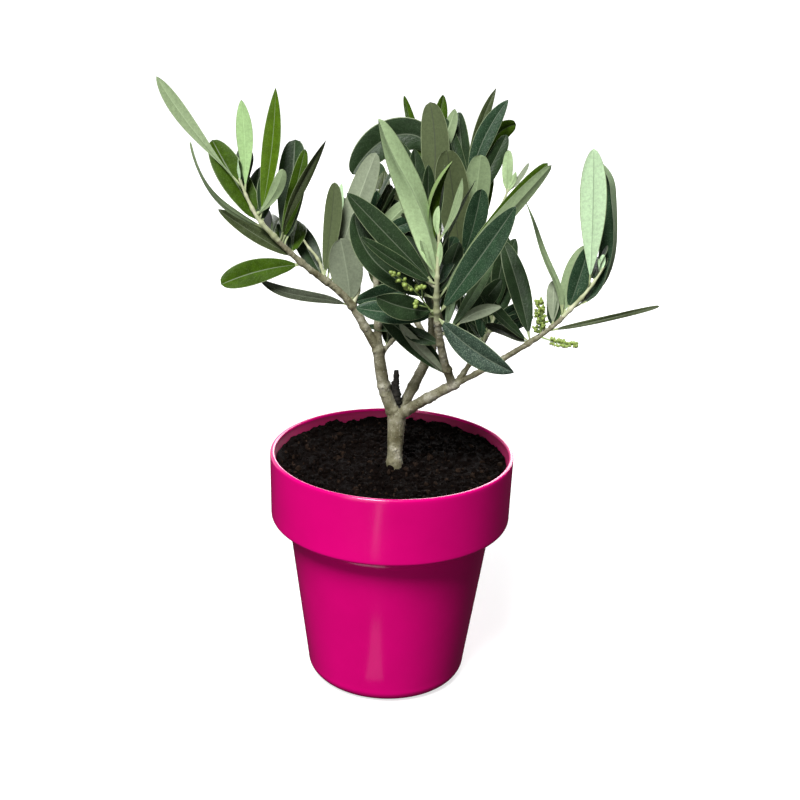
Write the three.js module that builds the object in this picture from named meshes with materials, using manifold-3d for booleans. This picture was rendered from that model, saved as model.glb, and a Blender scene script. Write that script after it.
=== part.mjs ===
// A young olive tree in a glossy plastic pot, with its soil, trunk, boughs and masses of leaves.
// Millimetres, +Z up, -Y is the front. The origin is the centre of the pot's flat underside.
import * as THREE from 'three';
import { mergeVertices } from 'three/addons/utils/BufferGeometryUtils.js';
import Module from 'manifold-3d';

const wasm = await Module();
wasm.setup();

// ---- Driving sizes --------------------------------------------------------------------------

const GAP = 0.3; // clearance between solids that touch
const LIMB_SIDES = 7;
const SLEEVE_SIDES = 5; // of the plainer sleeve that clears a limb inside the foliage
const RING_STEP = 8.5; // length of limb between two of its rings
const LOBE_SIDES = 6; // facets round a lobe of foliage
const LOBE_RINGS = 4; // facets along it

const POT = {
  height: 130,
  rimRadius: 65,
  bandHeight: 37, // the plain collar round the top
  bandTaper: 0.6, // how much narrower the collar is at its lower edge
  bandFillet: 2,
  shoulderRadius: 55.2, // the body where it meets the collar
  footRadius: 43.6,
  footFillet: 7.5,
  wall: 2.5,
  floor: 3,
  lip: 1.25, // the rim is rounded to half its wall
  sides: 36,
};

const SOIL = {
  top: 124, // height of the soil's surface, inside the pot
  level: 20, // radius of the level patch that the trunk stands on
  roughness: 0.7,
};

// Each limb starts on its parent, at a share of the parent's length. Its heading (degrees from +X
// towards +Y) and its rise (degrees above level) change evenly through the values listed, and its
// radius goes from the first value to the last. The trunk starts at the soil.
const LIMBS = {
  trunk: { length: 29, heading: [80], rise: [88, 83], radius: [4.3, 4.6], flare: 1.3 },
  left_bough: {
    on: 'trunk', at: 0.93, length: 41, heading: [178], rise: [58, 72, 82, 80], radius: [3.6, 3.1],
  },
  left_long_bough: {
    on: 'left_bough', at: 0.95, length: 88, heading: [188, 190], rise: [58, 62, 34, 42, 52],
    radius: [2.6, 1.9, 1.2],
  },
  left_inner_bough: {
    on: 'left_bough', at: 0.97, length: 52, heading: [100, 130], rise: [84, 74], radius: [2.2, 1.3],
  },
  left_short_bough: {
    on: 'left_bough', at: 0.86, length: 16, heading: [20], rise: [50, 45], radius: [1.4, 1.1],
  },
  right_bough: {
    on: 'trunk', at: 0.93, length: 42, heading: [-30, -20], rise: [42, 36, 34], radius: [3, 2.7],
  },
  centre_stem: {
    on: 'right_bough', at: 0.93, length: 64, heading: [-135, -118, -90], rise: [60, 68, 76],
    radius: [2.4, 2, 1.2],
  },
  right_long_bough: {
    on: 'right_bough', at: 0.96, length: 74, heading: [0, 6], rise: [28, 33, 36, 56],
    radius: [1.6, 1.5, 1.1],
  },
  right_inner_bough: {
    on: 'right_bough', at: 0.97, length: 38, heading: [50, 60], rise: [32, 36], radius: [1.6, 1.1],
  },
  middle_bough: {
    on: 'trunk', at: 0.93, length: 42, heading: [48, 44], rise: [48, 56], radius: [3.1, 2.9, 2.6],
  },
  dead_stub: {
    on: 'trunk', at: 0.97, length: 17, heading: [110], rise: [80, 86], radius: [2.2, 2, 0.9],
  },
  top_bough: {
    on: 'middle_bough', at: 0.96, length: 48, heading: [100, 120], rise: [80, 76],
    radius: [2, 1.2],
  },
  upper_right_bough: {
    on: 'middle_bough', at: 0.96, length: 56, heading: [30, 40], rise: [72, 66], radius: [1.8, 1.1],
  },
  back_bough: {
    on: 'middle_bough', at: 0.97, length: 58, heading: [122, 128], rise: [36, 48],
    radius: [2, 1.2],
  },
};

// Each mass of leaves has a core along its limb and ranks of lobes that end at its leaves' tips.
// Places on a limb are millimetres from the limb's end, and past the end they follow its last
// direction. A rank is an even run of lobes up the shoot, from its first value to its second: lean
// is degrees from upright, to the right where positive, and toward is degrees out to the front.
const MASSES = {
  centre_foliage: {
    limb: 'centre_stem', core: [-24, 22, 15],
    ranks: [
      { count: 4, place: [-14, 0], lean: [-85, -18], toward: [25, 15], length: [40, 88], width: 13 },
      { count: 3, place: [-10, 10], lean: [37, 6], toward: [0, -10], length: [80, 48], width: 12 },
      { count: 1, place: [-20], lean: [115], toward: [25], length: [48], width: 13 },
    ],
  },
  left_node_foliage: {
    limb: 'left_long_bough', core: [-66, -54, 13],
    ranks: [
      { count: 3, place: [-60, -58], lean: [-70, 75], toward: [30, -10], length: [52, 34], width: 13 },
    ],
  },
  left_knuckle_foliage: {
    limb: 'left_long_bough', core: [-44, -34, 13],
    ranks: [
      { count: 3, place: [-40, -38], lean: [-30, 15], toward: [-25, 5], length: [45, 52], width: 13 },
    ],
  },
  left_tip_foliage: {
    limb: 'left_long_bough', core: [-22, 22, 11],
    ranks: [
      { count: 3, place: [-2, 18], lean: [-45, -31], toward: [15, 15], length: [52, 72], width: 12 },
      { count: 2, place: [-20, -18], lean: [-104, -70], toward: [30, 20], length: [46, 44], width: 13 },
      { count: 4, place: [-16, 16], lean: [20, -3], toward: [0, -5], length: [58, 48], width: 12 },
    ],
  },
  upper_left_foliage: {
    limb: 'left_inner_bough', core: [-16, 22, 14],
    ranks: [
      { count: 3, place: [-4, 6], lean: [-20, 15], toward: [-25, -10], length: [48, 54], width: 15 },
      { count: 2, place: [-10, -8], lean: [-60, 30], toward: [-15, -45], length: [48, 40], width: 13 },
    ],
  },
  top_foliage: {
    limb: 'top_bough', core: [-12, 34, 17],
    ranks: [
      { count: 3, place: [28, 30], lean: [-12, 10], toward: [-15, -5], length: [54, 56], width: 12 },
      { count: 4, place: [4, 20], lean: [-40, 30], toward: [-30, 15], length: [48, 55], width: 15 },
    ],
  },
  upper_right_foliage: {
    limb: 'upper_right_bough', core: [-16, 30, 13],
    ranks: [
      { count: 3, place: [22, 16], lean: [5, 25], toward: [-10, 0], length: [62, 54], width: 11 },
      { count: 3, place: [-4, 4], lean: [8, 62], toward: [15, -25], length: [56, 45], width: 13 },
    ],
  },
  back_foliage: {
    limb: 'back_bough', core: [-22, 24, 15],
    ranks: [
      { count: 4, place: [-14, 18], lean: [-80, -20], toward: [-15, -50], length: [50, 48], width: 13 },
      { count: 3, place: [-6, 14], lean: [65, 10], toward: [-40, -20], length: [48, 52], width: 13 },
    ],
  },
  lower_right_foliage: {
    limb: 'right_inner_bough', core: [-14, 16, 13],
    ranks: [
      { count: 3, place: [-8, 10], lean: [78, 20], toward: [-10, -30], length: [42, 48], width: 13 },
      { count: 3, place: [-4, 8], lean: [50, -25], toward: [-65, -40], length: [44, 44], width: 13 },
    ],
  },
  right_tip_foliage: {
    limb: 'right_long_bough', core: [-24, 14, 11],
    ranks: [
      { count: 4, place: [-20, -10], lean: [-68, -16], toward: [-10, 5], length: [36, 72], width: 11 },
      { count: 3, place: [-6, 4], lean: [2, 14], toward: [15, -15], length: [90, 60], width: 12 },
      { count: 1, place: [-10], lean: [78], toward: [5], length: [50], width: 8 },
    ],
  },
  inner_foliage: {
    limb: 'middle_bough', core: [-8, 6, 12],
    ranks: [
      { count: 3, place: [-4, 0], lean: [-40, 80], toward: [30, -15], length: [35, 36], width: 12 },
    ],
  },
};

const COLOURS = {
  pot: [0xc4006a, 0.25],
  soil: [0x1c1210, 0.95],
  bark: [0x8a8470, 0.8],
  deadWood: [0x1d1a16, 0.9],
  leaf: [0x3f5a3c, 0.6],
};

// ---- Solids -----------------------------------------------------------------------------------

// A closed three.js geometry as a solid that can be joined and cut.
function toSolid(geometry) {
  const bare = geometry.clone();
  bare.deleteAttribute('normal');
  bare.deleteAttribute('uv');
  const merged = mergeVertices(bare, 1e-4);
  return new wasm.Manifold(new wasm.Mesh({
    numProp: 3,
    vertProperties: new Float32Array(merged.attributes.position.array),
    triVerts: new Uint32Array(merged.index.array),
  }));
}

// The largest body of a solid, as a three.js geometry: cutting can leave loose crumbs.
function toGeometry(solid) {
  const bodies = solid.decompose();
  const largest = bodies.reduce((best, body) => (body.volume() > best.volume() ? body : best));
  const mesh = largest.getMesh();
  const geometry = new THREE.BufferGeometry();
  geometry.setAttribute('position', new THREE.BufferAttribute(mesh.vertProperties, 3));
  geometry.setIndex(new THREE.BufferAttribute(mesh.triVerts, 1));
  geometry.computeVertexNormals();
  return geometry;
}

// ---- Limbs ------------------------------------------------------------------------------------

const radians = THREE.MathUtils.degToRad;

function direction(heading, rise) {
  const level = Math.cos(radians(rise));
  return new THREE.Vector3(
    level * Math.cos(radians(heading)), level * Math.sin(radians(heading)), Math.sin(radians(rise)),
  );
}

// The value at share t of a list whose values are spaced evenly from 0 to 1.
function along(values, t) {
  const place = t * (values.length - 1);
  const low = Math.min(Math.floor(place), Math.max(values.length - 2, 0));
  const high = Math.min(low + 1, values.length - 1);
  return THREE.MathUtils.lerp(values[low], values[high], place - low);
}

// The centre line of a limb, as one smooth curve from its start.
function centreLine(start, limb) {
  const steps = Math.ceil(limb.length / RING_STEP) + 1;
  const point = start.clone();
  const points = [point.clone()];
  for (let i = 0; i < steps; i++) {
    const t = (i + 0.5) / steps;
    const step = direction(along(limb.heading, t), along(limb.rise, t));
    points.push(point.addScaledVector(step, limb.length / steps).clone());
  }
  return new THREE.CatmullRomCurve3(points);
}

// A tapering limb: a closed cylinder whose rings are laid along its curve. A limb with a flare
// widens at its foot, where it is cut flat and level. With fewer sides it is widened to hold the
// whole limb within its flats.
function limbGeometry(limb, grow = 0, sides = LIMB_SIDES) {
  const rings = Math.ceil(limb.length / RING_STEP) + 1;
  const widen = sides < LIMB_SIDES ? 1 / Math.cos(Math.PI / sides) : 1;
  const geometry = new THREE.CylinderGeometry(widen, widen, 1, sides, rings);
  const frames = limb.curve.computeFrenetFrames(rings);
  const position = geometry.attributes.position;
  for (let i = 0; i < position.count; i++) {
    const ring = Math.round((position.getY(i) + 0.5) * rings);
    const t = ring / rings;
    const flare = (limb.flare ?? 0) * Math.exp((-t * limb.length) / 3.5);
    const radius = along(limb.radius, t) + flare + grow;
    const point = limb.curve.getPointAt(t)
      .addScaledVector(frames.normals[ring], position.getX(i) * radius)
      .addScaledVector(frames.binormals[ring], -position.getZ(i) * radius);
    if (ring === 0) point.addScaledVector(frames.tangents[0], -grow);
    if (ring === rings) point.addScaledVector(frames.tangents[rings], grow);
    if (limb.flare && ring === 0) point.z = SOIL.top + GAP - grow;
    position.setXYZ(i, point.x, point.y, point.z);
  }
  return geometry;
}

const TRUNK_FOOT = new THREE.Vector3(1.5, -8.5, SOIL.top + GAP);

function growLimbs() {
  for (const limb of Object.values(LIMBS)) {
    const start = limb.on ? LIMBS[limb.on].curve.getPointAt(limb.at) : TRUNK_FOOT;
    limb.curve = centreLine(start, limb);
  }
}

// Each limb is cut back from those listed before it, so that it meets its parent face to face.
function limbSolids() {
  const earlier = [];
  const solids = {};
  for (const [name, limb] of Object.entries(LIMBS)) {
    const cutters = earlier.map((other) => toSolid(limbGeometry(other, GAP)));
    const whole = toSolid(limbGeometry(limb));
    solids[name] = cutters.length ? whole.subtract(wasm.Manifold.union(cutters)) : whole;
    earlier.push(limb);
  }
  return solids;
}

// ---- Foliage ----------------------------------------------------------------------------------

// A point on a limb, in millimetres from its end, with the limb's own direction there.
function placeOn(limb, distance) {
  const t = THREE.MathUtils.clamp(1 + distance / limb.length, 0, 1);
  const tangent = limb.curve.getTangentAt(t);
  const point = limb.curve.getPointAt(t);
  return distance > 0 ? point.addScaledVector(tangent, distance) : point;
}

// A closed lobe from root to tip, a little flat and uneven, like a leaf and its neighbours.
function lobeGeometry(root, tip, width, grow, turn) {
  const geometry = new THREE.SphereGeometry(1, LOBE_SIDES, LOBE_RINGS);
  const position = geometry.attributes.position;
  for (let i = 0; i < position.count; i++) {
    const angle = Math.atan2(position.getZ(i), position.getX(i));
    const swell = 1 + 0.12 * Math.sin(2 * angle + turn) - 0.18 * position.getY(i);
    position.setXYZ(i, position.getX(i) * swell, position.getY(i), position.getZ(i) * swell);
  }
  const axis = tip.clone().sub(root);
  const length = axis.length();
  geometry.scale(width / 2 + grow, length / 2 + grow, 0.7 * width / 2 + grow);
  geometry.rotateY(turn);
  const upright = new THREE.Vector3(0, 1, 0);
  geometry.applyQuaternion(new THREE.Quaternion().setFromUnitVectors(upright, axis.normalize()));
  geometry.translate(...root.clone().add(tip).multiplyScalar(0.5));
  return geometry;
}

// A unit direction from its lean off upright and how far it comes out to the front.
function leanDirection(lean, toward) {
  const level = Math.cos(radians(toward));
  return new THREE.Vector3(
    level * Math.sin(radians(lean)), -Math.sin(radians(toward)), level * Math.cos(radians(lean)),
  );
}

// The lobes of one rank, as a root, a tip and a width each.
function rankLobes(bearer, { count, place, lean, toward, length, width }) {
  return Array.from({ length: count }, (_, i) => {
    const t = count > 1 ? i / (count - 1) : 0;
    const root = placeOn(bearer, along(place, t));
    const aim = leanDirection(along(lean, t), along(toward, t));
    return { root, tip: root.clone().addScaledVector(aim, along(length, t)), width };
  });
}

function massSolid({ limb, core, ranks }, grow) {
  const bearer = LIMBS[limb];
  const [coreStart, coreEnd, coreWidth] = core;
  const pieces = [
    lobeGeometry(placeOn(bearer, coreStart), placeOn(bearer, coreEnd), coreWidth, grow, 0),
  ];
  ranks.flatMap((rank) => rankLobes(bearer, rank)).forEach(({ root, tip, width }, i) => {
    pieces.push(lobeGeometry(root, tip, width, grow, i));
  });
  return wasm.Manifold.union(pieces.map(toSolid));
}

// Each mass is cut round every limb and back from the masses listed before it.
function massSolids() {
  const limbs = Object.values(LIMBS).map((limb) => toSolid(limbGeometry(limb, GAP, SLEEVE_SIDES)));
  const cutters = [wasm.Manifold.union(limbs)];
  const solids = {};
  for (const [name, mass] of Object.entries(MASSES)) {
    solids[name] = massSolid(mass, 0).subtract(wasm.Manifold.union(cutters));
    cutters.push(massSolid(mass, GAP));
  }
  return solids;
}

// ---- Pot and soil -----------------------------------------------------------------------------

// Points of a quarter round about a centre, from one angle to another, in degrees.
function quarterRound(x, y, radius, from, to, steps) {
  return Array.from({ length: steps + 1 }, (_, i) => {
    const angle = radians(THREE.MathUtils.lerp(from, to, i / steps));
    return new THREE.Vector2(x + radius * Math.cos(angle), y + radius * Math.sin(angle));
  });
}

function turned(profile, sides) {
  const geometry = new THREE.LatheGeometry(profile, sides);
  geometry.rotateX(Math.PI / 2);
  return geometry;
}

const bandBottom = POT.height - POT.bandHeight;
const bandRadius = POT.rimRadius - POT.bandTaper;
const innerLedge = bandBottom + POT.wall; // the step inside, behind the collar's lower edge

function potGeometry() {
  const { footRadius, footFillet, bandFillet, rimRadius, wall, lip, height } = POT;
  return turned([
    new THREE.Vector2(0, 0),
    ...quarterRound(footRadius - footFillet, footFillet, footFillet, -90, 0, 3),
    new THREE.Vector2(POT.shoulderRadius, bandBottom),
    ...quarterRound(bandRadius - bandFillet, bandBottom + bandFillet, bandFillet, -90, 0, 2),
    ...quarterRound(rimRadius - lip, height - lip, lip, 0, 180, 4),
    new THREE.Vector2(bandRadius - wall, innerLedge),
    new THREE.Vector2(POT.shoulderRadius - wall, innerLedge),
    new THREE.Vector2(footRadius - wall, POT.floor),
    new THREE.Vector2(0, POT.floor),
  ], POT.sides);
}

// Soil fills the pot up to its surface, which is level round the trunk and uneven further out.
function soilGeometry() {
  const inset = POT.wall + GAP;
  const geometry = turned([
    new THREE.Vector2(0, POT.floor + GAP),
    new THREE.Vector2(POT.footRadius - inset, POT.floor + GAP),
    new THREE.Vector2(POT.shoulderRadius - inset, innerLedge + GAP),
    new THREE.Vector2(bandRadius - inset, innerLedge + GAP),
    new THREE.Vector2(bandRadius - inset, SOIL.top - 1),
    new THREE.Vector2(bandRadius * 0.8, SOIL.top),
    new THREE.Vector2(bandRadius * 0.55, SOIL.top),
    new THREE.Vector2(0, SOIL.top),
  ], POT.sides / 2);
  const position = geometry.attributes.position;
  for (let i = 0; i < position.count; i++) {
    const x = position.getX(i);
    const y = position.getY(i);
    const reach = Math.hypot(x, y);
    if (position.getZ(i) < SOIL.top - 1.5 || reach < SOIL.level) continue;
    const angle = Math.atan2(y, x);
    const bump = Math.sin(5 * angle + reach) * Math.cos(3 * angle - reach);
    position.setZ(i, position.getZ(i) + SOIL.roughness * bump);
  }
  return geometry;
}

// ---- The tree in its pot ----------------------------------------------------------------------

const group = new THREE.Group();

function add(name, geometry, [colour, roughness]) {
  const material = new THREE.MeshStandardMaterial({ color: colour, roughness, metalness: 0 });
  const mesh = new THREE.Mesh(geometry, material);
  mesh.name = name;
  group.add(mesh);
}

growLimbs();
add('pot', potGeometry(), COLOURS.pot);
add('soil', soilGeometry(), COLOURS.soil);
for (const [name, solid] of Object.entries(limbSolids())) {
  add(name, toGeometry(solid), name === 'dead_stub' ? COLOURS.deadWood : COLOURS.bark);
}
for (const [name, solid] of Object.entries(massSolids())) {
  add(name, toGeometry(solid), COLOURS.leaf);
}

export default group;
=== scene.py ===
import math
import random

import bpy
import numpy as np
from mathutils import Matrix, Vector, noise


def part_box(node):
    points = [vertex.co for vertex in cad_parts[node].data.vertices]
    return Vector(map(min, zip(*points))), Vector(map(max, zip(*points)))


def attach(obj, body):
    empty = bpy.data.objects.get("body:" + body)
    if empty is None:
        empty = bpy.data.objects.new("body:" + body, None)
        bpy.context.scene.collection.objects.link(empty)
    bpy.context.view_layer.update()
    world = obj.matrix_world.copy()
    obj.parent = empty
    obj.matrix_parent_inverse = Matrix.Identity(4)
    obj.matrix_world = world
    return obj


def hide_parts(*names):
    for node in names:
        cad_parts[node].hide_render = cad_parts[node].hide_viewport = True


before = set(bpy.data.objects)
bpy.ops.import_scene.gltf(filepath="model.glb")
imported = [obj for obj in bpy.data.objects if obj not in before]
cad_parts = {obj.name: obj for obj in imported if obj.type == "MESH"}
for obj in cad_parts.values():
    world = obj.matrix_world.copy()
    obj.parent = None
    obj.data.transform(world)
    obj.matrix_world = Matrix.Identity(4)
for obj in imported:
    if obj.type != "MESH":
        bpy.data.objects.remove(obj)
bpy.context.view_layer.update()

MM = 0.001

# ---- Driving values ----

BARK_VOXEL = 0.42  # mesh size of the bark, in millimetres
LOOK_DOWN = 20  # degrees; leaf leans are given as seen from the front, a little from above
LOOK_TILT = 2.4  # degrees that the front view is turned

# The look of each kind of leaf: the colours of its top and its underside, how bright the rib
# is under it, how strongly its top is speckled, and how much its top shines.
LEAF_KINDS = {
    "dark": dict(top=(0.019, 0.039, 0.014), under=(0.110, 0.145, 0.080), rib=1.3, specks=0.22, sheen=0.26),
    "teal": dict(top=(0.018, 0.047, 0.021), under=(0.180, 0.260, 0.130), rib=1.3, specks=0.5, sheen=0.22),
    "green": dict(top=(0.036, 0.075, 0.003), under=(0.220, 0.320, 0.110), rib=0.7, specks=0.2, sheen=0.07),
    "fresh": dict(top=(0.060, 0.118, 0.004), under=(0.320, 0.490, 0.210), rib=1.2, specks=0.15, sheen=0.09),
    "olive": dict(top=(0.046, 0.062, 0.022), under=(0.088, 0.114, 0.048), rib=0.6, specks=0.3, sheen=0.18),
    "grey": dict(top=(0.046, 0.055, 0.034), under=(0.230, 0.268, 0.180), rib=1.3, specks=0.4, sheen=0.22),
    "sage": dict(top=(0.080, 0.130, 0.060), under=(0.210, 0.280, 0.145), rib=1.25, specks=0.3, sheen=0.2),
    "pale": dict(top=(0.060, 0.110, 0.035), under=(0.510, 0.700, 0.430), rib=0.6, specks=0.3, sheen=0.2),
    "mint": dict(top=(0.060, 0.110, 0.035), under=(0.370, 0.500, 0.260), rib=0.7, specks=0.3, sheen=0.2),
    "blue": dict(top=(0.026, 0.048, 0.032), under=(0.180, 0.260, 0.130), rib=1.3, specks=0.85, sheen=0.26),
}


def leaves_behind(pairs, lean, length, *kinds):
    """The seeded leaves behind a shoot: how many pairs, the leans and the lengths in millimetres
    that they keep between, and their kinds."""
    return {"pairs": pairs, "lean": lean, "length": length, "kinds": kinds}


def new_shoot(limb, length, lean, toward, behind, start=None):
    """How a shoot goes on from its limb, in millimetres and degrees. lean is off upright, to the
    right where positive, and toward is out to the front; both run from first to last. A side
    shoot has a start, which is how far before the limb's end it leaves."""
    return {"limb": limb, "length": length, "lean": lean, "toward": toward, "behind": behind,
            "side": start is not None, "start": 2 if start is None else start}


SHOOTS = {
    "left_tip": new_shoot("left_long_bough", 29, (-36, -16), (4, 12),
                          leaves_behind(4, (-40, 15), (20, 28), "green", "dark")),
    "left_inner": new_shoot("left_inner_bough", 22, (-5, -2), (-10, -5),
                            leaves_behind(6, (2, 38), (32, 42), "dark", "teal", "olive")),
    "left_short": new_shoot("left_short_bough", 6, (20, 0), (0, 0),
                            leaves_behind(1, (-10, 30), (24, 32), "olive", "dark")),
    "centre": new_shoot("centre_stem", 28, (5, 2), (5, 0),
                        leaves_behind(6, (-30, 28), (38, 50), "dark", "teal")),
    "centre_side": new_shoot("centre_stem", 13, (75, 50), (10, 0),
                             leaves_behind(1, (0, 40), (26, 34), "dark"), start=33),
    "right_tip": new_shoot("right_long_bough", 25, (46, 30), (0, 0),
                           leaves_behind(3, (10, 30), (20, 26), "dark", "teal")),
    "right_inner": new_shoot("right_inner_bough", 20, (18, 8), (-10, -10),
                             leaves_behind(7, (-50, 22), (34, 44), "dark", "teal", "dark")),
    "top": new_shoot("top_bough", 56, (-2, 6), (-5, 0),
                     leaves_behind(9, (-28, 20), (38, 50), "dark", "teal", "dark")),
    "upper_right": new_shoot("upper_right_bough", 34, (0, 2), (-5, 0),
                             leaves_behind(7, (-25, 22), (38, 50), "dark", "teal")),
    "upper_side": new_shoot("upper_right_bough", 46, (60, 18), (5, 0),
                            leaves_behind(1, (0, 30), (26, 34), "dark"), start=4),
    "back": new_shoot("back_bough", 30, (-10, -5), (-25, -5),
                      leaves_behind(10, (-42, 55), (36, 46), "dark", "teal", "olive")),
}


def leaf(place, lean, toward, length, width, face, kind, fold=16, tip=0.62, belly=0.54, twist=0):
    """One leaf: its place on the shoot in millimetres from the limb's end, its direction,
    its size, and how it faces: 0 shows its top to the front, 180 its underside, 90 turns the top
    to the right. A lean or toward of several values bends the leaf evenly through them. fold
    closes it along its rib, tip is small where its end is round and near 1 where it is sharp,
    belly is the share of its length where it is widest, and twist turns its end."""
    return {
        "place": place, "lean": lean, "toward": toward, "length": length, "width": width,
        "face": face, "kind": kind, "fold": fold, "tip": tip, "belly": belly, "twist": twist,
    }


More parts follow.
